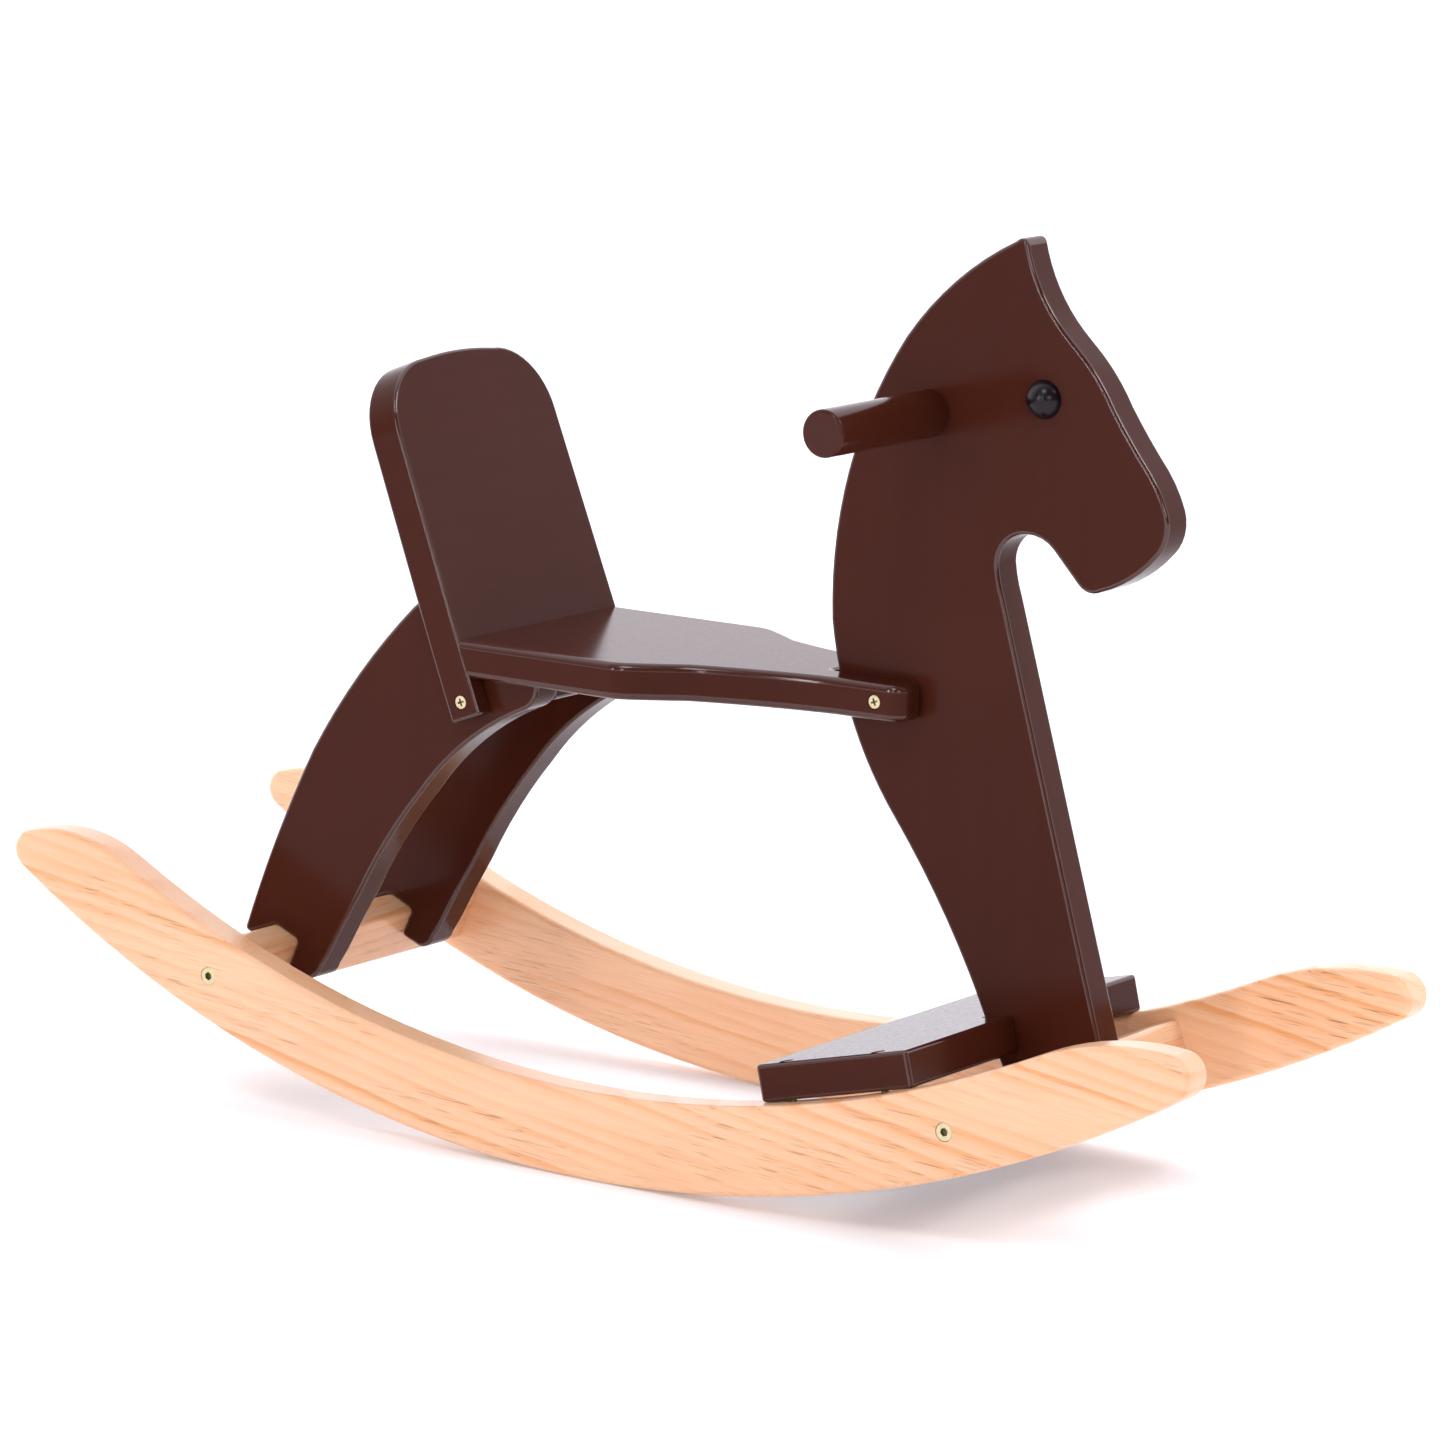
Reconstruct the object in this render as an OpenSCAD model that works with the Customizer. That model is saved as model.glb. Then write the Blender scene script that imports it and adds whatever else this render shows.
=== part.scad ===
// Child's wooden rocking horse: two rockers sawn from solid board and joined by crossbars, a seat with
// a backrest on two curved legs, a horse's head board with a handle through it, and a footrest.
// +X is forward, +Y is the rider's left, +Z is up, and the floor is z = 0. Millimetres.

/* [Rockers] */
// Length over both rocker ends
length = 760; // [756:1:764]
// Radius that the rockers roll on
roll_r = 706; // [703:1:709]
// Distance of the rolling centre ahead of mid-length
roll_x = 11.6; // [11:0.1:12.5]
// Depth of a rocker across its curve
rocker_d = 48; // [47:0.5:49]
// Thickness of a rocker
rocker_t = 20; // [18:0.5:22]
// Clear width between the rockers
clear_w = 206; // [200:1:212]

/* [Seat] */
// Thickness of the seat, backrest, legs, head board and footrest
board_t = 20; // [19:0.5:21]
// Width of the seat and of the backrest's foot
seat_w = 146; // [142:1:150]
// Height of the seat's top where it meets the backrest
seat_h = 267.5; // [266:0.5:269]
// Lean of the backrest from upright, in degrees
back_lean = 21.6; // [20.6:0.2:22.4]
// Height of the backrest above the seat, along its slope
back_h = 156; // [146:1:165]
// Radius of the backrest's top corners
back_r = 39; // [30:1:42]
// Clear width between the two rear legs
leg_gap = 83.5; // [80:0.5:87]

/* [Head and footrest] */
// Diameter of the handle
handle_d = 25; // [22:0.5:26]
// Length of the handle, end to end
handle_l = 220; // [200:2:230]
// Diameter of an eye
eye_d = 20.5; // [19:0.5:22]
// Height of an eye's dome
eye_h = 8.4; // [7:0.2:9]
// Front-to-back length of the footrest
foot_l = 95; // [93:0.5:96]
// Width of the footrest
foot_w = 226; // [222:1:230]

/* [Fixings] */
// Shank diameter of the wood screws
screw_d = 4; // [3.5:0.1:4.2]
// Head diameter of the wood screws
screw_head_d = 7.2; // [6.8:0.1:8]
// Shank diameter of the rocker bolts
bolt_d = 6; // [5:0.5:6]
// Head diameter of the rocker bolts
bolt_head_d = 9.5; // [9:0.1:10.4]
// Diameter of the wooden dowels
dowel_d = 8; // [6:0.5:8]

/* [Hidden] */
$fn = 48;

brown = [0.31, 0.18, 0.15];
pine = [0.94, 0.74, 0.52];
birch = [0.88, 0.78, 0.62];
brass = [0.80, 0.72, 0.48];
steel = [0.72, 0.72, 0.74];
black = [0.04, 0.04, 0.05];

// Clearance round a part in its hole, on the radius
fit = 0.05;
// Clearance on each side of the head board in the seat's and the footrest's slots
slot_gap = 0.2;
// Length that reaches past any board, for cutting tools
past = 60;

// Rocker ends: the small nose, and the long hump that blends it into the inner curve
roll_fn = 360;
inner_r = roll_r - rocker_d;
rear_nose_r = 11.5;
rear_hump_r = 90;
front_nose_r = 12.3;
front_hump_r = 158;

// Crossbars: centres on the middle of the rocker's depth, square or nearly square to its curve
bar_r = roll_r - rocker_d / 2;
rear_bar_at = -21.7;
rear_bar_tilt = -23.5;
front_bar_at = 19.4;
front_bar_tilt = 19.5;
bar_half = 16;
bar_front = 8;
bar_back = 27;
bar_bevel = 18;
bar_round = 3;
bar_outline = concat(
    [[bar_front, -bar_half]],
    bow([bar_front, bar_half - bar_round], [bar_front - bar_round, bar_half], -0.29 * bar_round, 4),
    [[bar_front - bar_round, bar_half], [bar_bevel - bar_back, bar_half],
     [-bar_back, bar_half - bar_bevel], [-bar_back, -bar_half]]);

// Seat and backrest: both measured from the line where the seat's top meets the backrest's face
joint = [-110.8, seat_h];
slot_top = 14;
back_foot = 41.5;
back_taper = 2;
back_crown = 2;
leg_mid = (leg_gap + board_t) / 2;
seat_half = seat_w / 2;
seat_blank = 15;
seat_side = 98;
seat_reach = 256.5;
seat_slot = 200;
prong_half = 30;

// Under-seat batten
batten_front = -69;
batten_back = -89;
batten_h = 12;

// Head board
handle_at = [145, 409];
handle_relief = 0.2;
eye_at = [214.5, 423];

// Footrest: a chord of the rockers' inner curve
foot_at = 13.6;
foot_chord = sqrt(inner_r * inner_r - foot_l * foot_l / 4);
foot_slot = 27.5;

// Fixings
head_h = 2.4;
head_sink = 0.5;
head_gap = 0.3;
head_groove = 0.8;
screw_tip = 4;
cross_w = 0.9;
cross_l = 4;
cross_deep = 1.5;
bolt_head_h = 6;
bolt_l = 45;
bolt_sink = 0.3;
bore_gap = 0.3;
shank_gap = 0.25;
socket_af = 4;
nut_d = 10;
nut_l = 14;
nut_in = 22;
dowel_l = 30;
dowel_at = [-17, -5];
dowel_in_rocker = 10;
dowel_in_back = 12;
dowel_out = 25;
ear_screw_l = 28;
ear_screw_up = -32;
ear_screw_in = 10.5;
prong_screw_l = 28;
prong_screw_at = 239;
foot_screw_l = 42;
foot_screw_row = [-31, 27];
batten_screw_l = 26;
batten_screw_out = 25;
bar_screw_l = 60;
bar_screw_at = -3;
peg_d = 6;
peg_l = 8;

// ---- outlines ----------------------------------------------------------------------------------

// Points of an arc from a towards b, without b. It bulges by s to the left of the way from a to b,
// or to the right where s is negative.
function bow(a, b, s, n = 8) =
    let (c = norm(b - a),
         r = (c * c / 4 + s * s) / (2 * s),
         way = (b - a) / c,
         left = [-way.y, way.x],
         centre = (a + b) / 2 + left * (s - r),
         half = asin(c / 2 / r))
    [for (i = [0 : n - 1])
        let (t = half * (1 - 2 * i / n))
        centre + r * (left * cos(t) - way * sin(t))];

// Points of an arc about c from the angle a0 towards a1, without the last
function arc(c, r, a0, a1, n) =
    [for (i = [0 : n - 1])
        let (t = a0 + (a1 - a0) * i / n)
        c + r * [cos(t), sin(t)]];

// A point on the line from a to b, twice that length past b
function run_on(a, b) = b + 2 * (b - a);

// Direction from the rolling centre, by the angle forward of straight down
function down(a) = [sin(a), -cos(a)];

function flip_x(points) = [for (i = [len(points) - 1 : -1 : 0]) [-points[i].x, points[i].y]];

function flip_y(points) = [for (i = [len(points) - 1 : -1 : 0]) [points[i].x, -points[i].y]];

// One end of a rocker about the rolling centre, from just outside the rolling curve, round the nose
// and over the hump, to just past the inner curve. The hump touches the nose and the inner curve, so
// its centre follows from the three distances.
function rocker_end(reach, nose_r, hump_r) =
    let (nose_at = asin((reach - nose_r) / (roll_r - nose_r)),
         nose_far = roll_r - nose_r,
         nose = down(nose_at) * nose_far,
         hump_far = inner_r + hump_r,
         between = hump_r - nose_r,
         gap = acos((nose_far * nose_far + hump_far * hump_far - between * between)
                    / (2 * nose_far * hump_far)),
         hump_at = nose_at - gap,
         hump = down(hump_at) * hump_far,
         meet = atan2(nose.y - hump.y, nose.x - hump.x),
         nose_arc = arc(nose, nose_r, nose_at - 90, meet, 14),
         hump_arc = arc(hump, hump_r, meet, hump_at + 90, 10))
    concat([run_on(nose_arc[1], nose_arc[0])],
           [for (i = [1 : len(nose_arc) - 1]) nose_arc[i]],
           hump_arc,
           [run_on(hump_arc[len(hump_arc) - 1], down(hump_at) * inner_r)]);

// A point by its distance up the backrest's face from the seat, and behind that face
function back_point(up, behind) =
    joint + up * [-sin(back_lean), cos(back_lean)] - behind * [cos(back_lean), sin(back_lean)];

// Where the seat's underside meets the backrest's face
under_joint = back_point(-board_t / cos(back_lean), 0);

// A point by its distance forward and up in a crossbar's own frame
function bar_centre(at) = [roll_x, roll_r] + down(at) * bar_r;
function bar_point(at, tilt, p) =
    bar_centre(at) + p.x * [cos(tilt), sin(tilt)] + p.y * [-sin(tilt), cos(tilt)];
function rear_bar_point(p) = bar_point(rear_bar_at, rear_bar_tilt, p);
function front_bar_point(p) = bar_point(front_bar_at, front_bar_tilt, p);

// Half of the seat's outline, from its blank end, which the backrest's face cuts off, to the slot
// between the prongs
function seat_edge() = concat(
    [[-seat_blank, seat_half], [seat_side, seat_half]],
    bow([seat_side + 1, seat_half], [112, 68], 0.8, 4),
    bow([112, 68], [136, 51.5], 0.3, 3),
    bow([136, 51.5], [215, 31], -2.5),
    [[215, 31], [246, prong_half]],
    bow([247, prong_half], [seat_reach, 20], 2.8, 6),
    [[seat_reach, 20], [seat_reach, 10 + slot_gap], [seat_slot, 10 + slot_gap]]);

// Half of the backrest's outline, from its slot over a leg to its rounded top corner
function backrest_edge() = concat(
    [[leg_gap / 2, -back_foot], [leg_gap / 2, -slot_top],
     [leg_gap / 2 + board_t, -slot_top], [leg_gap / 2 + board_t, -back_foot],
     [seat_half, -back_foot], [seat_half, 0]],
    arc([seat_half - back_taper - back_r, back_h - back_crown - back_r], back_r, 0, 90, 12));

// The leg stands on the rear crossbar, and its notch takes the backrest. From the notch it runs
// under the seat, down the arch to the hoof, over the crossbar and up its back.
function leg_outline() = concat(
    [back_point(-slot_top, board_t), back_point(-slot_top, 0), under_joint, [-65.5, seat_h - board_t]],
    bow([-66, 244.5], [-75, 232], 2.2, 6),
    bow([-75, 232], [-143, 178], -5.6, 10),
    bow([-143, 178], [-184, 116.5], -2.2, 6),
    bow([-184, 116.5], [-205.5, 79], -0.4, 2),
    [[-205.5, 79]],
    bow([-211, 70.5], rear_bar_point([21.4, -1]), 2.2, 5),
    [rear_bar_point([21.4, -1]), rear_bar_point([0, -1]), rear_bar_point([-12, 0])],
    bow([-264.5, 85.5], [-218, 193], 2.2, 8),
    bow([-218, 193], [-150, 280], 3.7, 8),
    bow([-150, 280], back_point(29, board_t), 0.3, 3),
    [back_point(29, board_t)]);

// Ear tip, forehead, nose, chin, throat and chest, then the foot over the crossbar and the back of
// the neck up to the ear
function head_outline() = concat(
    bow([194.5, 503], [201.5, 503], 1.6, 4),
    bow([201.5, 503], [226, 458], -3.6, 8),
    [[226, 458]],
    bow([237.5, 447], [256.5, 421.5], 1.1, 5),
    bow([256.5, 421.5], [279, 391], -0.5, 4),
    bow([279, 391], [289.5, 371.5], 0.8, 3),
    bow([289.5, 371.5], [284, 348], 3.4, 6),
    bow([284, 348], [251.5, 327], 2.6, 6),
    bow([251.5, 327], [238, 329], 2.3, 6),
    [[238, 329]],
    bow([222.5, 345.5], [206, 352], -1.9, 4),
    bow([206, 352], [189, 334.5], -5.1, 8),
    bow([189, 334.5], [193.5, 315.5], -0.6, 3),
    [[193.5, 315.5]],
    bow([264, 77], front_bar_point([22, -1]), 2.4, 5),
    [front_bar_point([22, -1]), front_bar_point([0, -1]), front_bar_point([-10, 2])],
    bow([208.5, 64], [200.5, 69.5], 2, 5),
    [[200.5, 69.5]],
    bow([191, 90], [130, 192], -3.5, 8),
    bow([130, 192], [87, 294], 7.4, 12),
    bow([87, 294], [129, 448], 13.3, 14),
    bow([129, 448], [194.5, 503], 5.2, 8));

// ---- placing -----------------------------------------------------------------------------------

// Stands a side-view outline up as a board whose middle is at y
module upright(y, thickness) {
    translate([0, y + thickness / 2, 0])
        rotate([90, 0, 0])
            linear_extrude(thickness)
                children();
}

module at_rolling_centre() {
    translate([roll_x, 0, roll_r]) children();
}

module at_bar(at, tilt) {
    centre = bar_centre(at);
    translate([centre.x, 0, centre.y]) rotate([0, -tilt, 0]) children();
}

module at_rear_bar() {
    at_bar(rear_bar_at, rear_bar_tilt) children();
}

module at_front_bar() {
    at_bar(front_bar_at, front_bar_tilt) children();
}

module at_both_bars() {
    at_rear_bar() children();
    at_front_bar() children();
}

// Both sides of the middle, with z pointing out of the side
module on_both_sides(y) {
    for (side = [-1, 1])
        translate([0, side * y, 0])
            rotate([-90 * side, 0, 0])
                children();
}

module at_seat() {
    translate([joint.x, 0, joint.y]) children();
}

module at_back() {
    translate([joint.x, 0, joint.y]) rotate([0, -back_lean, 0]) children();
}

// The footrest's frame: x forward along it, z up out of its top
module at_footrest() {
    at_rolling_centre()
        rotate([0, -foot_at, 0])
            translate([0, 0, board_t - foot_chord])
                children();
}

module at_ear_screws() {
    centre = back_point(ear_screw_up, ear_screw_in);
    translate([centre.x, 0, centre.y]) on_both_sides(seat_half) children();
}

module at_prong_screws() {
    at_seat()
        translate([prong_screw_at, 0, -board_t / 2])
            on_both_sides(prong_half)
                children();
}

module at_footrest_screws() {
    at_footrest()
        for (x = foot_screw_row, side = [-1, 1])
            translate([x, side * (clear_w / 2 + 5), 0])
                children();
}

// The batten's screws point up into the seat
module at_batten_screws() {
    middle = (batten_front + batten_back) / 2 - joint.x;
    at_seat()
        for (side = [-1, 1])
            translate([middle, side * batten_screw_out, -board_t - batten_h])
                rotate([180, 0, 0])
                    children();
}

// The crossbars' screws point up into the legs and the head board
module at_leg_screws() {
    at_rear_bar()
        for (side = [-1, 1])
            translate([bar_screw_at, side * leg_mid, -bar_half])
                rotate([180, 0, 0])
                    children();
}

module at_head_screw() {
    at_front_bar()
        translate([bar_screw_at, 0, -bar_half])
            rotate([180, 0, 0])
                children();
}

module at_rocker_bolts() {
    at_both_bars() on_both_sides(clear_w / 2 + rocker_t) children();
}

module at_crossbar_dowels() {
    at_both_bars()
        translate([dowel_at.x, 0, dowel_at.y])
            on_both_sides(clear_w / 2)
                children();
}

module at_seat_dowels() {
    at_seat()
        for (side = [-1, 1])
            translate([0, side * dowel_out, -board_t / 2])
                rotate([0, 90, 0])
                    children();
}

// ---- fixings -----------------------------------------------------------------------------------

// Countersunk wood screw, head up and sunk just below z = 0, with a cross recess
module screw(l) {
    shank_end = screw_tip - l;
    difference() {
        union() {
            translate([0, 0, -head_sink - head_h])
                cylinder(h = head_h, d1 = screw_d, d2 = screw_head_d);
            translate([0, 0, shank_end])
                cylinder(h = l - screw_tip - head_sink - head_h, d = screw_d);
            translate([0, 0, -l])
                cylinder(h = screw_tip, d1 = 0.4, d2 = screw_d);
        }
        for (turn = [20, 110])
            rotate([0, 0, turn])
                translate([-cross_l / 2, -cross_w / 2, -head_sink - cross_deep])
                    cube([cross_l, cross_w, cross_deep + 1]);
    }
}

// The head's countersink, with a small counterbore that leaves a groove round the head's edge
module screw_hole(l) {
    translate([0, 0, -head_sink - head_h - fit])
        cylinder(h = head_h, d1 = screw_d + 2 * fit, d2 = screw_head_d + 2 * fit);
    translate([0, 0, -head_sink - head_groove])
        cylinder(h = head_sink + head_groove + 1, d = screw_head_d + 2 * head_gap);
    translate([0, 0, -l - 1])
        cylinder(h = l, d = screw_d + 2 * fit);
}

// Cap-head bolt with a hexagon socket, head outwards, sunk below z = 0
module bolt() {
    translate([0, 0, -bolt_sink]) {
        difference() {
            translate([0, 0, -bolt_head_h])
                cylinder(h = bolt_head_h, d = bolt_head_d);
            translate([0, 0, -socket_af / 2])
                cylinder(h = socket_af, d = socket_af / cos(30), $fn = 6);
        }
        translate([0, 0, -bolt_head_h - bolt_l])
            cylinder(h = bolt_l, d = bolt_d);
    }
}

module bolt_hole() {
    translate([0, 0, -bolt_sink - bolt_head_h])
        cylinder(h = past, d = bolt_head_d + 2 * bore_gap);
    translate([0, 0, -rocker_t - past])
        cylinder(h = 2 * past, d = bolt_d + 2 * shank_gap);
}

// ---- rockers and crossbars ---------------------------------------------------------------------

module rocker(side) {
    rear = flip_x(rocker_end(length / 2 + roll_x, rear_nose_r, rear_hump_r));
    front = rocker_end(length / 2 - roll_x, front_nose_r, front_hump_r);
    below = -roll_r - past;
    color(pine)
    difference() {
        at_rolling_centre()
            upright(side * (clear_w + rocker_t) / 2, rocker_t)
                difference() {
                    intersection() {
                        circle(r = roll_r, $fn = roll_fn);
                        polygon(concat([[rear[len(rear) - 1].x, below], [front[0].x, below]], front, rear));
                    }
                    circle(r = inner_r, $fn = roll_fn);
                }
        at_rocker_bolts() bolt_hole();
        at_crossbar_dowels()
            cylinder(h = dowel_in_rocker + 1, d = dowel_d + 2 * fit);
        at_footrest_screws() screw_hole(foot_screw_l);
    }
}

module crossbar() {
    nut_at = clear_w / 2 - nut_in;
    difference() {
        upright(0, clear_w) polygon(bar_outline);
        on_both_sides(clear_w / 2)
            translate([0, 0, -nut_in - nut_in / 2])
                cylinder(h = past, d = bolt_d + 2 * shank_gap);
        for (side = [-1, 1])
            translate([0, side * nut_at, -bar_half - 1])
                cylinder(h = bar_half + 1 + nut_l / 2, d = nut_d + 2 * fit);
        translate([dowel_at.x, 0, dowel_at.y])
            on_both_sides(clear_w / 2)
                translate([0, 0, dowel_in_rocker - dowel_l - 1])
                    cylinder(h = dowel_l, d = dowel_d + 2 * fit);
    }
}

module front_crossbar() {
    color(pine)
    difference() {
        at_front_bar() crossbar();
        at_head_screw() screw_hole(bar_screw_l);
    }
}

module rear_crossbar() {
    color(pine)
    difference() {
        at_rear_bar() crossbar();
        at_leg_screws() screw_hole(bar_screw_l);
    }
}

// ---- rear legs, seat and backrest --------------------------------------------------------------

module rear_leg(side) {
    color(brown)
    difference() {
        upright(side * leg_mid, board_t) polygon(leg_outline());
        at_rear_bar() upright(0, clear_w) polygon(bar_outline);
        at_ear_screws() screw_hole(ear_screw_l);
        at_leg_screws() screw_hole(bar_screw_l);
    }
}

module seat() {
    half = seat_edge();
    color(brown)
    difference() {
        at_seat()
            translate([0, 0, -board_t])
                linear_extrude(board_t)
                    polygon(concat(half, flip_y(half)));
        at_back()
            translate([-past, -past - seat_half, -past])
                cube([past, 2 * past + seat_w, 2 * past]);
        at_seat_dowels()
            translate([0, 0, -past])
                cylinder(h = past + dowel_l - dowel_in_back + 1, d = dowel_d + 2 * fit);
        at_prong_screws() screw_hole(prong_screw_l);
        at_batten_screws() screw_hole(batten_screw_l);
    }
}

module backrest() {
    half = backrest_edge();
    top = back_h - back_crown;
    corner = seat_half - back_taper - back_r;
    crown = bow([corner, top], [-corner, top], -back_crown, 12);
    color(brown)
    difference() {
        at_back()
            translate([-board_t, 0, 0])
                rotate([90, 0, 90])
                    linear_extrude(board_t)
                        polygon(concat(half, crown, flip_x(half)));
        at_seat_dowels()
            translate([0, 0, -dowel_in_back - 1])
                cylinder(h = past, d = dowel_d + 2 * fit);
        at_ear_screws() screw_hole(ear_screw_l);
    }
}

module seat_batten() {
    color(brown)
    difference() {
        at_seat()
            translate([batten_back - joint.x, -leg_gap / 2, -board_t - batten_h])
                cube([batten_front - batten_back, leg_gap, batten_h]);
        at_batten_screws() screw_hole(batten_screw_l);
    }
}

// ---- head board and footrest -------------------------------------------------------------------

module head_board() {
    color(brown)
    difference() {
        upright(0, board_t) polygon(head_outline());
        at_front_bar() upright(0, clear_w) polygon(bar_outline);
        translate([handle_at.x, 0, handle_at.y])
            rotate([90, 0, 0])
                cylinder(h = past, d = handle_d + 2 * fit, center = true);
        translate([eye_at.x, 0, eye_at.y])
            on_both_sides(board_t / 2)
                translate([0, 0, -peg_l - 1])
                    cylinder(h = past, d = peg_d + 2 * fit);
        at_prong_screws() screw_hole(prong_screw_l);
        at_head_screw() screw_hole(bar_screw_l);
    }
}

module footrest() {
    slot_w = board_t + 2 * slot_gap;
    color(brown)
    difference() {
        at_footrest()
            difference() {
                translate([-foot_l / 2, -foot_w / 2, -board_t])
                    cube([foot_l, foot_w, board_t]);
                translate([foot_slot, -slot_w / 2, -board_t - 1])
                    cube([foot_l, slot_w, board_t + 2]);
            }
        at_footrest_screws() screw_hole(foot_screw_l);
    }
}

// A dowel that passes right through the head board, turned down a little there to make room for glue
module handle() {
    free_l = (handle_l - board_t) / 2;
    color(brown)
    translate([handle_at.x, 0, handle_at.y]) {
        rotate([90, 0, 0]) cylinder(h = board_t, d = handle_d - 2 * handle_relief, center = true);
        on_both_sides(board_t / 2) cylinder(h = free_l, d = handle_d);
    }
}

// A glossy dome on a peg that is pressed into the head board
module eye(side) {
    dome_r = (eye_d * eye_d / 4 + eye_h * eye_h) / (2 * eye_h);
    color(black)
    translate([eye_at.x, side * board_t / 2, eye_at.y])
        rotate([-90 * side, 0, 0]) {
            intersection() {
                translate([0, 0, eye_h - dome_r]) sphere(r = dome_r, $fn = 64);
                cylinder(h = dome_r, d = eye_d);
            }
            translate([0, 0, -peg_l]) cylinder(h = peg_l + eye_h / 2, d = peg_d);
        }
}

// ---- groups of fixings -------------------------------------------------------------------------

module rocker_bolts() {
    color(brass) at_rocker_bolts() bolt();
}

module barrel_nuts() {
    color(steel)
    at_both_bars()
        for (side = [-1, 1])
            translate([0, side * (clear_w / 2 - nut_in), 0])
                difference() {
                    cylinder(h = nut_l, d = nut_d, center = true);
                    rotate([90, 0, 0]) cylinder(h = past, d = bolt_d + 2 * fit, center = true);
                }
}

module crossbar_dowels() {
    color(birch)
    at_crossbar_dowels()
        translate([0, 0, dowel_in_rocker - dowel_l])
            cylinder(h = dowel_l, d = dowel_d);
}

module seat_dowels() {
    color(birch)
    at_seat_dowels()
        translate([0, 0, -dowel_in_back])
            cylinder(h = dowel_l, d = dowel_d);
}

module backrest_screws() {
    color(brass) at_ear_screws() screw(ear_screw_l);
}

module seat_screws() {
    color(brass) at_prong_screws() screw(prong_screw_l);
}

module footrest_screws() {
    color(brass) at_footrest_screws() screw(foot_screw_l);
}

module batten_screws() {
    color(brass) at_batten_screws() screw(batten_screw_l);
}

module crossbar_screws() {
    color(brass) {
        at_leg_screws() screw(bar_screw_l);
        at_head_screw() screw(bar_screw_l);
    }
}

rocker(-1);  // rocker_right
rocker(1);  // rocker_left
front_crossbar();
rear_crossbar();
rear_leg(-1);  // rear_leg_right
rear_leg(1);  // rear_leg_left
seat();
backrest();
seat_batten();
head_board();
footrest();
handle();
eye(-1);  // eye_right
eye(1);  // eye_left
rocker_bolts();
barrel_nuts();
crossbar_dowels();
seat_dowels();
backrest_screws();
seat_screws();
footrest_screws();
batten_screws();
crossbar_screws();
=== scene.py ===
"""The looks of a child's wooden rocking horse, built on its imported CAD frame.

Each board is the CAD board with its rims rounded over, as a router leaves them. The rockers and the
crossbars are pine under a satin lacquer, and the other boards are painted brown.
+X is forward, +Y is the rider's left, +Z is up, and everything is in metres.
"""

import math

import bmesh
import bpy
import numpy as np
from mathutils import Matrix, Vector


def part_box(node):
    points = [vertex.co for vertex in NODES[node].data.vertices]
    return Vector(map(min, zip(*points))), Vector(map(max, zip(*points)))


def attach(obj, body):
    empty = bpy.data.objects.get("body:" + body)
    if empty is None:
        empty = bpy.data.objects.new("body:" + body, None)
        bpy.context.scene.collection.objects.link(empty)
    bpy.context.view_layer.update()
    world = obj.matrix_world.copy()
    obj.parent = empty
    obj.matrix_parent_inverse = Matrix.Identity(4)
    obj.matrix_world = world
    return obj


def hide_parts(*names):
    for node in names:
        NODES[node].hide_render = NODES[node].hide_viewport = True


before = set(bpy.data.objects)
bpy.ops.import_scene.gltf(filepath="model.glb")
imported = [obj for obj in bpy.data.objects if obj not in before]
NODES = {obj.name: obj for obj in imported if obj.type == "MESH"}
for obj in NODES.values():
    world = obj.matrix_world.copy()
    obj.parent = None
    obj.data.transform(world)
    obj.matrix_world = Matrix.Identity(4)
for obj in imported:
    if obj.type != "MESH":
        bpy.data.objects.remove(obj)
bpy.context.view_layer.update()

MM = 0.001
WELD = 0.002 * MM              # corners closer than this are one corner
FLAT = math.radians(0.1)       # faces that turn less than this are one flat face
RIM_ANGLE = math.radians(30)   # an edge turned more than this is a rim or a corner
HOLE_SPAN = 45 * MM            # a closed loop of rims smaller than this is the mouth of a hole
OUTSIDE = 0.05 * MM            # metal reaching this far past a face's plane makes it a hollow's face

HEAD_ROUND = 5.0 * MM          # radius of the head board's and the backrest's rims
SEAT_ROUND = 4.0 * MM          # radius of the seat's and the rear legs' rims
FOOT_ROUND = 2.0 * MM          # radius of the footrest's and the seat batten's rims
PINE_ROUND = 6.0 * MM          # radius of the rockers' rims
BAR_ROUND = 2.5 * MM           # radius of the crossbars' long edges
DOWEL_ROUND = 1.8 * MM         # radius of the handle's ends
BOLT_BREAK = 0.45 * MM         # how far the bolts' edges are broken
SCREW_BREAK = 0.12 * MM        # how far the screws' edges are broken
RIM_STEPS = 8                  # faces across a board's rim
BREAK_STEPS = 2                # faces across a metal edge
SEAT_BACK = 12 * MM            # the seat's rims stay sharp this near its back end, against the backrest
EYE_LET_IN = 0.5 * MM          # how deep an eye's flat back sits in the board
DOME_STEPS = 14                # faces from an eye's top to its edge
TIP_STEPS = 6                  # faces round the handle's rounded ends

# ---- materials ---------------------------------------------------------------------------------


class Nodes:
    """Short ways to add nodes to a tree. A value that is a socket is linked."""

    def __init__(self, tree):
        self.tree = tree

    def set(self, node, sockets):
        for name, value in sockets.items():
            if isinstance(value, bpy.types.NodeSocket):
                self.tree.links.new(value, node.inputs[name])
            else:
                node.inputs[name].default_value = value

    def add(self, kind, sockets=None, **settings):
        node = self.tree.nodes.new("ShaderNode" + kind)
        for name, value in settings.items():
            setattr(node, name, value)
        self.set(node, sockets or {})
        return node

    def math(self, operation, *values):
        node = self.add("Math", dict(enumerate(values)), operation=operation)
        return node.outputs["Value"]

    def dot(self, a, b):
        node = self.add("VectorMath", {0: a, 1: b}, operation="DOT_PRODUCT")
        return node.outputs["Value"]

    def spread(self, value, low, high, to_low=0.0, to_high=1.0, **settings):
        """value from low..high to to_low..to_high, held at both ends."""
        sockets = {"Value": value, "From Min": low, "From Max": high, "To Min": to_low, "To Max": to_high}
        return self.add("MapRange", sockets, **settings).outputs["Result"]


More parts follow.
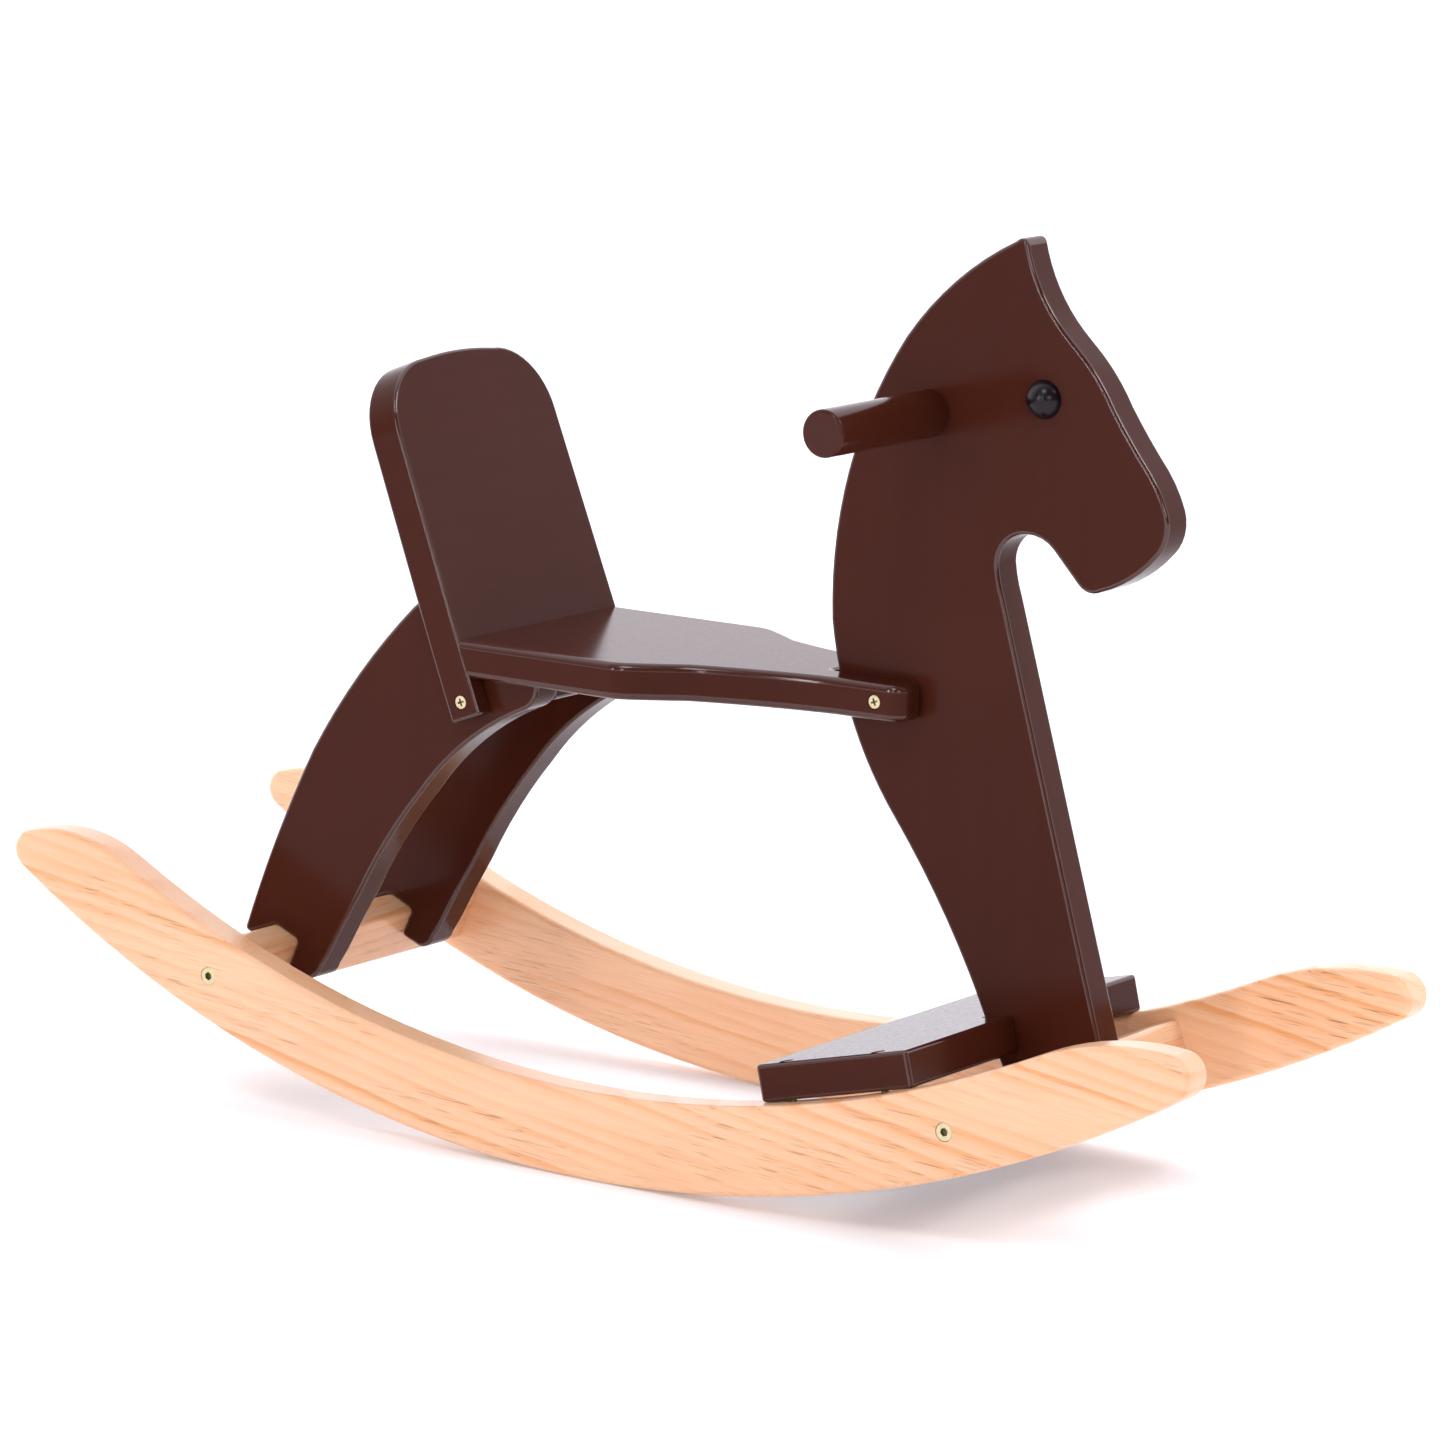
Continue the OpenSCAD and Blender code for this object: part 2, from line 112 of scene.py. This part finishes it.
class Finish(Nodes):
    """A new material, with the patterns that the finishes share."""

    def __init__(self, name):
        self.material = bpy.data.materials.new(name)
        self.material.use_nodes = True
        super().__init__(self.material.node_tree)
        self.shader = self.tree.nodes["Principled BSDF"]

    def place(self, scale, shift=(0, 0, 0), turn=(0, 0, 0)):
        """The frame's own coordinates, turned, then stretched and shifted."""
        at = self.add("TexCoord").outputs["Object"]
        turned = self.add("Mapping", {"Vector": at, "Rotation": turn}).outputs["Vector"]
        sockets = {"Vector": turned, "Scale": scale, "Location": shift}
        return self.add("Mapping", sockets).outputs["Vector"]

    def noise(self, at, scale, detail=2.0, roughness=0.5):
        sockets = {"Vector": at, "Scale": scale, "Detail": detail, "Roughness": roughness}
        return self.add("TexNoise", sockets).outputs["Fac"]

    def ramp(self, value, stops):
        node = self.add("ValToRGB", {"Fac": value})
        points = node.color_ramp.elements
        while len(points) < len(stops):
            points.new(0.5)
        for point, (place, color) in zip(points, stops):
            point.position = place
            point.color = (*color, 1)
        return node.outputs["Color"]

    def mix(self, factor, a, b):
        node = self.add("Mix", {0: factor, 6: a, 7: b}, data_type="RGBA")
        return node.outputs[2]

    def bump(self, height, strength, distance):
        sockets = {"Height": height, "Strength": strength, "Distance": distance}
        return self.add("Bump", sockets).outputs["Normal"]


PALE_PINE = (0.860, 0.525, 0.315)
WARM_PINE = (0.760, 0.337, 0.132)
DARK_PINE = (0.610, 0.250, 0.094)
DASH_PINE = (0.330, 0.120, 0.045)
RING_WIDTH = 8.5 * MM
RING_FLAT = 0.8                # how much the growth rings are flattened towards the board's sides
RING_FALL = 0.10               # how steeply the growth rings run down towards the front
RING_WANDER = 5.0              # how many ring widths the rings wander by, at most
GRAIN_TURN = math.radians(3.5)   # how far the fibres are turned from the board's length
# (part of the year, how dark the wood is that grew then), through one ring
SEASONS = ((0.0, 0.15), (0.10, 0.0), (0.45, 0.25), (0.80, 1.0), (0.93, 0.85), (1.0, 0.15))


def pine(name, along_y=False, shift=(0.0, 0.0, 0.0), painted_light=1.0):
    """Straight-grained pine: growth rings about a far pith line, fibres along it, and resin dashes.

    along_y lays the fibres across the object, shift moves the pattern, and the last factor makes the wood
    paler, painted light for wood that the lamps light too little.
    """
    f = Finish(name)
    pale = (*[painted_light * c for c in PALE_PINE], 1)
    warm = (*[painted_light * c for c in WARM_PINE], 1)
    turn = (0, 0, math.radians(90)) if along_y else (0, -GRAIN_TURN, 0)
    board = f.place((1, 1, 1), shift, turn)

    def along(stretch):
        return f.add("Mapping", {"Vector": board, "Scale": (stretch, 1, 1)}).outputs["Vector"]

    axes = f.add("SeparateXYZ", {"Vector": board})
    height = f.math("ADD", axes.outputs["Z"], f.math("MULTIPLY", axes.outputs["X"], RING_FALL))
    side = f.math("MULTIPLY", axes.outputs["Y"], RING_FLAT)
    squares = f.math("ADD", f.math("MULTIPLY", height, height), f.math("MULTIPLY", side, side))
    wander = f.math("MULTIPLY", f.noise(along(0.16), 11, 3.0, 0.5), RING_WANDER)
    years = f.math("ADD", f.math("MULTIPLY", f.math("SQRT", squares), 1 / RING_WIDTH), wander)
    year = f.math("FLOOR", years)
    season = f.math("FRACT", years)
    vigour = f.add("TexWhiteNoise", {"W": year}, noise_dimensions="1D").outputs["Value"]
    summer = f.ramp(season, [(place, (dark,) * 3) for place, dark in SEASONS])
    ring = f.math("MULTIPLY", summer, f.spread(vigour, 0, 1, 0.35, 1.0))
    fading = f.spread(f.noise(along(0.12), 34, 2.0, 0.5), 0.36, 0.62, 0.20, 1.30)
    late = f.math("MULTIPLY", ring, fading)

    fibre = f.noise(along(0.022), 1300, 3.0, 0.6)
    patch = f.noise(along(0.30), 16, 2.0, 0.5)
    speck = f.spread(f.noise(along(0.045), 1500, 0.0, 0.4), 0.64, 0.76)
    cluster = f.spread(f.noise(along(0.30), 28, 2.0, 0.5), 0.44, 0.62, 0.08, 1.1)
    dash = f.math("MULTIPLY", speck, cluster)
    color = f.mix(f.math("MULTIPLY", late, 0.95), pale, warm)
    color = f.mix(f.spread(fibre, 0.42, 0.78, 0.0, 0.30), color, (*DARK_PINE, 1))
    color = f.mix(f.spread(patch, 0.48, 0.75, 0.0, 0.35), color, warm)
    dashed = f.math("MULTIPLY", dash, f.spread(late, 0.1, 0.6, 0.30, 0.75))
    color = f.mix(dashed, color, (*DASH_PINE, 1))

    rough = f.spread(fibre, 0.3, 0.7, 0.26, 0.38)
    normal = f.bump(f.math("ADD", fibre, late), 0.10, 0.10 * MM)
    f.set(f.shader, {"Base Color": color, "Roughness": rough, "Normal": normal,
                     "Coat Weight": 0.25, "Coat Roughness": 0.16})
    return f.material


PAINT = (0.0545, 0.0122, 0.0064)
PAINT_DEEP = (0.0480, 0.0103, 0.0053)
PAINT_WORN = (0.0700, 0.0180, 0.0105)


def paint(name, turn, ior=1.18, smoothest=0.14, roughest=0.19, relief=0.05):
    """Satin-gloss brown paint, thin enough for the grain below to show as faint ridges."""
    f = Finish(name)
    grain_at = f.place((0.03, 1, 1), (0, 0, 0), turn)
    grain = f.noise(grain_at, 700, 2.0, 0.5)
    streak = f.noise(grain_at, 90, 2.0, 0.5)
    skin = f.noise(f.place((1, 1, 1)), 420, 2.0, 0.5)
    cloud = f.noise(f.place((1, 1, 1), (3, 1, 2)), 12, 2.0, 0.5)
    color = f.mix(f.spread(streak, 0.3, 0.7, 0.3, 0.7), (*PAINT_DEEP, 1), (*PAINT, 1))
    color = f.mix(f.spread(cloud, 0.45, 0.8, 0.0, 0.25), color, (*PAINT_WORN, 1))
    rough = f.spread(skin, 0.3, 0.7, smoothest, roughest)
    ridges = f.math("ADD", f.math("MULTIPLY", grain, 0.35), f.math("MULTIPLY", skin, 0.5))
    normal = f.bump(ridges, relief, 0.10 * MM)
    f.set(f.shader, {"Base Color": color, "Roughness": rough, "Normal": normal, "IOR": ior})
    return f.material


def plating(name, color, dull):
    """Zinc plating: a metal with fine mottling."""
    f = Finish(name)
    mottle = f.noise(f.place((1, 1, 1)), 900, 3.0, 0.6)
    shade = f.mix(f.spread(mottle, 0.3, 0.7, 0.0, 0.5), (*color, 1), (*dull, 1))
    rough = f.spread(mottle, 0.3, 0.7, 0.28, 0.42)
    f.set(f.shader, {"Base Color": shade, "Metallic": 0.6, "Roughness": rough})
    return f.material


def eye_black():
    """Black paint with a soft gloss."""
    f = Finish("eye_black")
    haze = f.noise(f.place((1, 1, 1)), 300, 1.0, 0.5)
    color = f.mix(haze, (0.0060, 0.0030, 0.0045, 1), (0.0075, 0.0040, 0.0060, 1))
    rough = f.spread(haze, 0.3, 0.7, 0.24, 0.25)
    f.set(f.shader, {"Base Color": color, "Roughness": rough, "IOR": 1.34})
    return f.material


def bare_birch():
    """Unpainted dowel wood, with its fibres across the object."""
    f = Finish("bare_birch")
    fibre = f.noise(f.place((1, 0.03, 1)), 1400, 3.0, 0.6)
    color = f.ramp(fibre, [(0.3, (0.80, 0.66, 0.46)), (0.7, (0.62, 0.46, 0.28))])
    f.set(f.shader, {"Base Color": color, "Roughness": 0.55, "Normal": f.bump(fibre, 0.2, 0.1 * MM)})
    return f.material


# ---- shaping -----------------------------------------------------------------------------------


def welded(node):
    """A bmesh of a CAD node's surface, with its corners joined and its flat faces made whole."""
    bm = bmesh.new()
    bm.from_mesh(NODES[node].data)
    bmesh.ops.remove_doubles(bm, verts=bm.verts, dist=WELD)
    bmesh.ops.dissolve_limit(bm, angle_limit=FLAT, verts=bm.verts, edges=bm.edges)
    return bm


def rim_loops(bm):
    """The edges that turn sharply, in groups that hang together."""
    sharp = {e for e in bm.edges if len(e.link_faces) == 2 and e.calc_face_angle() > RIM_ANGLE}
    groups = []
    while sharp:
        group, front = [], [sharp.pop()]
        while front:
            edge = front.pop()
            group.append(edge)
            for v in edge.verts:
                for other in v.link_edges:
                    if other in sharp:
                        sharp.remove(other)
                        front.append(other)
        groups.append(group)
    return groups


def span(edges):
    """The length of the diagonal of the box round the edges."""
    places = [v.co for e in edges for v in e.verts]
    low = Vector(min(p[i] for p in places) for i in range(3))
    high = Vector(max(p[i] for p in places) for i in range(3))
    return (high - low).length


def add_piece(bm, name, material, nodes):
    """The bmesh as a piece of the object, smooth over its rounds and crisp at what is still sharp."""
    mesh = bpy.data.meshes.new(name)
    bm.to_mesh(mesh)
    bm.free()
    mesh.shade_smooth()
    mesh.set_sharp_from_angle(angle=RIM_ANGLE)
    mesh.materials.append(material)
    piece = bpy.data.objects.new(name, mesh)
    bpy.context.scene.collection.objects.link(piece)
    weigh = piece.modifiers.new("flat faces stay flat", "WEIGHTED_NORMAL")
    weigh.keep_sharp = True
    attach(piece, "root")
    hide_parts(*nodes)
    return piece


def rounded(node, radius, material, rim, crisp=None):
    """The CAD board with its outer rims rounded, in the rim material. crisp(edge) keeps an edge sharp."""
    bm = welded(node)
    rims = [e for group in rim_loops(bm) if span(group) > HOLE_SPAN for e in group]
    if crisp:
        rims = [e for e in rims if not crisp(e)]
    bmesh.ops.bevel(bm, geom=rims, offset=radius, offset_type="OFFSET", segments=RIM_STEPS, profile=0.5,
                    affect="EDGES", clamp_overlap=True, miter_outer="ARC", material=1)
    piece = add_piece(bm, node + "_board", material, [node])
    piece.data.materials.append(rim)
    return piece


def islands(bm):
    """The faces of each separate body."""
    left = set(bm.faces)
    found = []
    while left:
        group, front = [], [left.pop()]
        while front:
            face = front.pop()
            group.append(face)
            for edge in face.edges:
                for other in edge.link_faces:
                    if other in left:
                        left.remove(other)
                        front.append(other)
        found.append(group)
    return found


def softened(node, radius, material, painted_shade):
    """The CAD metalwork with every sharp edge just broken. Its hollows take a second, darker material,
    painted shade.
    """
    bm = welded(node)
    rims = [e for group in rim_loops(bm) for e in group]
    bmesh.ops.bevel(bm, geom=rims, offset=radius, offset_type="OFFSET", segments=BREAK_STEPS, profile=0.5,
                    affect="EDGES", clamp_overlap=True, material=-1)
    bm.normal_update()
    for body in islands(bm):
        corners = np.array([v.co for v in {v for face in body for v in face.verts}])
        for face in body:
            outside = (corners - np.array(face.calc_center_median())) @ np.array(face.normal)
            # faces of hollows get the darker material: painted shade in the screw recesses and bolt sockets
            face.material_index = int(outside.max() > OUTSIDE)
    piece = add_piece(bm, node + "_metal", material, [node])
    piece.data.materials.append(painted_shade)
    return piece


def lathe(profile, centre, axis, name, material, nodes, around=96):
    """A turned piece. profile is (distance from the axis, distance along it), from one end to the other."""
    bm = bmesh.new()
    turn = Vector((0, 0, 1)).rotation_difference(Vector(axis)).to_matrix()
    rings = []
    for radius, along in profile:
        if radius == 0:
            rings.append([bm.verts.new(centre + turn @ Vector((0, 0, along)))])
            continue
        angles = [2 * math.pi * k / around for k in range(around)]
        spots = [Vector((radius * math.cos(a), radius * math.sin(a), along)) for a in angles]
        rings.append([bm.verts.new(centre + turn @ spot) for spot in spots])
    for low, high in zip(rings, rings[1:]):
        for k in range(around):
            corners = [low[k % len(low)], low[(k + 1) % len(low)]]
            corners += [high[(k + 1) % len(high)], high[k % len(high)]]
            bm.faces.new(list(dict.fromkeys(corners)))
    bmesh.ops.recalc_face_normals(bm, faces=bm.faces)
    return add_piece(bm, name, material, nodes)


# ---- the pieces --------------------------------------------------------------------------------

X_WAY, Y_WAY, Z_WAY = (0, 0, 0), (0, 0, math.radians(90)), (0, math.radians(90), 0)

paint_along = paint("brown_paint_along", X_WAY)
paint_upright = paint("brown_paint_upright", Z_WAY)
paint_across = paint("brown_paint_across", Y_WAY)
paint_rim = paint("brown_paint_rim", X_WAY, 1.57, 0.075, 0.085, 0.002)
paint_seat_rim = paint("brown_paint_seat_rim", X_WAY, 1.50, 0.16, 0.18, 0.02)
paint_dowel = paint("brown_paint_dowel", Y_WAY, 1.27)
zinc_yellow = plating("zinc_yellow", (0.70, 0.60, 0.35), (0.58, 0.48, 0.25))
# darker plating for the hollows of screws and bolts: painted shade, not a finish the metal has
zinc_painted_shade = plating("zinc_yellow_painted_shade", (0.20, 0.16, 0.08), (0.09, 0.07, 0.035))
zinc_plain = plating("zinc_plain", (0.62, 0.62, 0.64), (0.45, 0.45, 0.47))
black = eye_black()


def rockers():
    """Each rocker is sawn from its own stretch of pine. The left one is painted a little paler, painted
    light for the far rocker that the lamps light too little.
    """
    # the last number brightens the wood's colour: painted light on the far, left rocker
    for node, shift, painted_light in (("rocker_right", (0.3, 0.160, 0.115), 1.0),
                              ("rocker_left", (1.3, -0.060, 0.150), 1.12)):
        wood = pine("pine_" + node, shift=shift, painted_light=painted_light)
        rounded(node, PINE_ROUND, wood, wood)


def crossbars():
    """The bars' end faces stay flat against the rockers, so only the long edges are rounded."""
    for node, shift in (("front_crossbar", (2.0, -0.20, 0.03)), ("rear_crossbar", (3.0, 0.30, 0.02))):
        wood = pine("pine_" + node, True, shift)
        rounded(node, BAR_ROUND, wood, wood,
                crisp=lambda e: abs(e.verts[0].co.y - e.verts[1].co.y) < MM)


def painted_boards():
    """The painted boards: grain upright in the legs and the head, along the seat, across the rest."""
    for node, radius, skin in (("rear_leg_right", SEAT_ROUND, paint_upright),
                               ("rear_leg_left", SEAT_ROUND, paint_upright),
                               ("head_board", HEAD_ROUND, paint_upright),
                               ("backrest", HEAD_ROUND, paint_across),
                               ("footrest", FOOT_ROUND, paint_across),
                               ("seat_batten", FOOT_ROUND, paint_across)):
        rounded(node, radius, skin, paint_rim)
    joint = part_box("seat")[0].x + SEAT_BACK
    rounded("seat", SEAT_ROUND, paint_along, paint_seat_rim,
            crisp=lambda e: max(v.co.x for v in e.verts) < joint)


def handle():
    """The dowel, with its ends rounded over."""
    low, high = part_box("handle")
    centre, half = (low + high) / 2, (high.y - low.y) / 2
    radius, end = (high.z - low.z) / 2, DOWEL_ROUND
    bends = [math.radians(90 - 90 * k / TIP_STEPS) for k in range(TIP_STEPS + 1)]
    tip = [(radius - end + end * math.cos(a), half - end + end * math.sin(a)) for a in bends]
    near_end = [(0, half), (radius / 2, half)] + tip
    far_end = [(r, -along) for r, along in reversed(near_end)]
    lathe(near_end + far_end, centre, (0, 1, 0), "handle_dowel", paint_dowel, ["handle"])


def eyes():
    """Each eye is a dome, the top of a ball, that meets the board in a sharp line."""
    board_low, board_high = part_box("head_board")
    for side, node in ((-1, "eye_right"), (1, "eye_left")):
        low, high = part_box(node)
        face = board_high.y if side > 0 else -board_low.y
        tall = (high.y if side > 0 else -low.y) - face
        radius = (high.z - low.z) / 2
        ball = (radius * radius + tall * tall) / (2 * tall)
        limit = math.asin(radius / ball)
        angles = [limit * k / DOME_STEPS for k in range(DOME_STEPS + 1)]
        arc = [(ball * math.sin(a), ball * math.cos(a) - ball + tall) for a in angles]
        centre = Vector(((low.x + high.x) / 2, side * face, (low.z + high.z) / 2))
        profile = arc + [(radius * 0.3, -EYE_LET_IN), (0, -EYE_LET_IN)]
        lathe(profile, centre, (0, side, 0), node + "_dome", black, [node])


def fixings():
    """The metalwork and the wooden dowels. What is hidden inside the boards keeps its CAD shape."""
    softened("rocker_bolts", BOLT_BREAK, zinc_yellow, zinc_painted_shade)
    for node in ("backrest_screws", "seat_screws", "footrest_screws", "batten_screws", "crossbar_screws"):
        softened(node, SCREW_BREAK, zinc_yellow, zinc_painted_shade)
    birch = bare_birch()
    for node, skin in (("barrel_nuts", zinc_plain), ("crossbar_dowels", birch), ("seat_dowels", birch)):
        NODES[node].data.materials.clear()
        NODES[node].data.materials.append(skin)


rockers()
crossbars()
painted_boards()
handle()
eyes()
fixings()

# ---- stage, light and camera -------------------------------------------------------------------

FLOOR_HALF = 40.0              # half of the floor's width

NEAR_SIDE = (0.566, -0.824, 0.0)   # the level direction towards the camera
FAR_WHITE, NEAR_DIM = 1.65, 0.12   # how bright the surroundings are on either side
DIM_FROM, DIM_TO = -0.25, 0.55     # where they dim, by how far a direction leans to the near side
BACKDROP = (0.985, 0.955, 1.02, 1)   # a white with a trace of violet

STRIPS = (                     # azimuth, half width, lowest and highest elevation in degrees, and radiance
    (-103, 1.4, -6, 26, 26.0),
    (-80, 0.9, -4, 28, 20.0),
    (-47, 1.0, 0, 26, 9.0),
)

SUNS = (                       # name, direction it shines from, degrees across, and strength
    ("right_of_camera", (0.75, -0.59, 0.31), 12, 0.25),
    ("over_front", (0.10, -0.58, 0.78), 20, 0.70),
    ("high_right", (0.67, 0.19, 0.71), 16, 0.7),
)

LENS = 164.43                  # focal length in mm, on a 36 mm wide sensor
CAMERA_AT = (1.979319, -2.862845, 0.890240)
CAMERA_RIGHT = Vector((0.82167971, 0.56954324, 0.02151644))
CAMERA_UP = Vector((-0.12413176, 0.14198434, 0.98205486))


def floor():
    """A white floor that glows a little, so that the shadows on it stay pale."""
    corners = [(-1, -1), (1, -1), (1, 1), (-1, 1)]
    mesh = bpy.data.meshes.new("floor")
    mesh.from_pydata([(FLOOR_HALF * x, FLOOR_HALF * y, 0) for x, y in corners], [], [(0, 1, 2, 3)])
    f = Finish("floor_white")
    f.set(f.shader, {"Base Color": (0.90, 0.92, 0.95, 1), "Roughness": 0.9, "Specular IOR Level": 0.1,
                     "Emission Color": (0.90, 0.94, 1.0, 1), "Emission Strength": 0.15})
    mesh.materials.append(f.material)
    plane = bpy.data.objects.new("floor", mesh)
    bpy.context.scene.collection.objects.link(plane)


def soft_sun(name, towards, spread, strength):
    """A far softbox in the direction towards, spread degrees across."""
    lamp = bpy.data.lights.new(name, "SUN")
    lamp.angle = math.radians(spread)
    lamp.energy = strength
    holder = bpy.data.objects.new(name, lamp)
    holder.rotation_mode = "QUATERNION"
    holder.rotation_quaternion = (-Vector(towards)).to_track_quat("-Z", "Y")
    bpy.context.scene.collection.objects.link(holder)


def strip(sky, way, azimuth, half_width, low, high):
    """1 inside a tall narrow softbox at that azimuth, between two heights, and 0 outside. Degrees."""
    def sine(degrees):
        return math.sin(math.radians(degrees))

    turn = math.radians(azimuth)
    across = sky.math("ABSOLUTE", sky.dot(way, (-math.sin(turn), math.cos(turn), 0)))
    thin = sky.math("LESS_THAN", across, sine(half_width))
    ahead = sky.math("GREATER_THAN", sky.dot(way, (math.cos(turn), math.sin(turn), 0)), 0.0)
    height = sky.dot(way, (0, 0, 1))
    above = sky.math("GREATER_THAN", height, sine(low))
    below = sky.math("LESS_THAN", height, sine(high))
    return sky.math("MULTIPLY", sky.math("MULTIPLY", thin, ahead), sky.math("MULTIPLY", above, below))


def studio():
    """A white backdrop wraps the far side, the near side is dim, and strip lights flank the camera."""
    world = bpy.data.worlds.new("studio")
    world.use_nodes = True
    sky = Nodes(world.node_tree)
    way = sky.add("TexCoord").outputs["Generated"]
    near = sky.dot(way, NEAR_SIDE)
    total = sky.spread(near, DIM_FROM, DIM_TO, FAR_WHITE, NEAR_DIM, interpolation_type="SMOOTHSTEP")
    for azimuth, half_width, low, high, radiance in STRIPS:
        lit = strip(sky, way, azimuth, half_width, low, high)
        total = sky.math("MULTIPLY_ADD", lit, radiance, total)
    sky.set(sky.tree.nodes["Background"], {"Color": BACKDROP, "Strength": total})
    bpy.context.scene.world = world


def camera():
    """The camera looks from the front right, a little down, with a long lens."""
    data = bpy.data.cameras.new("camera")
    data.sensor_width = 36.0
    data.lens = LENS
    data.clip_end = 200
    holder = bpy.data.objects.new("camera", data)
    turn = Matrix((CAMERA_RIGHT, CAMERA_UP, CAMERA_RIGHT.cross(CAMERA_UP))).transposed()
    holder.matrix_world = Matrix.Translation(CAMERA_AT) @ turn.to_4x4()
    bpy.context.scene.collection.objects.link(holder)
    bpy.context.scene.camera = holder


floor()
studio()
for sun in SUNS:
    soft_sun(*sun)
camera()
bpy.context.scene.view_settings.view_transform = "Standard"
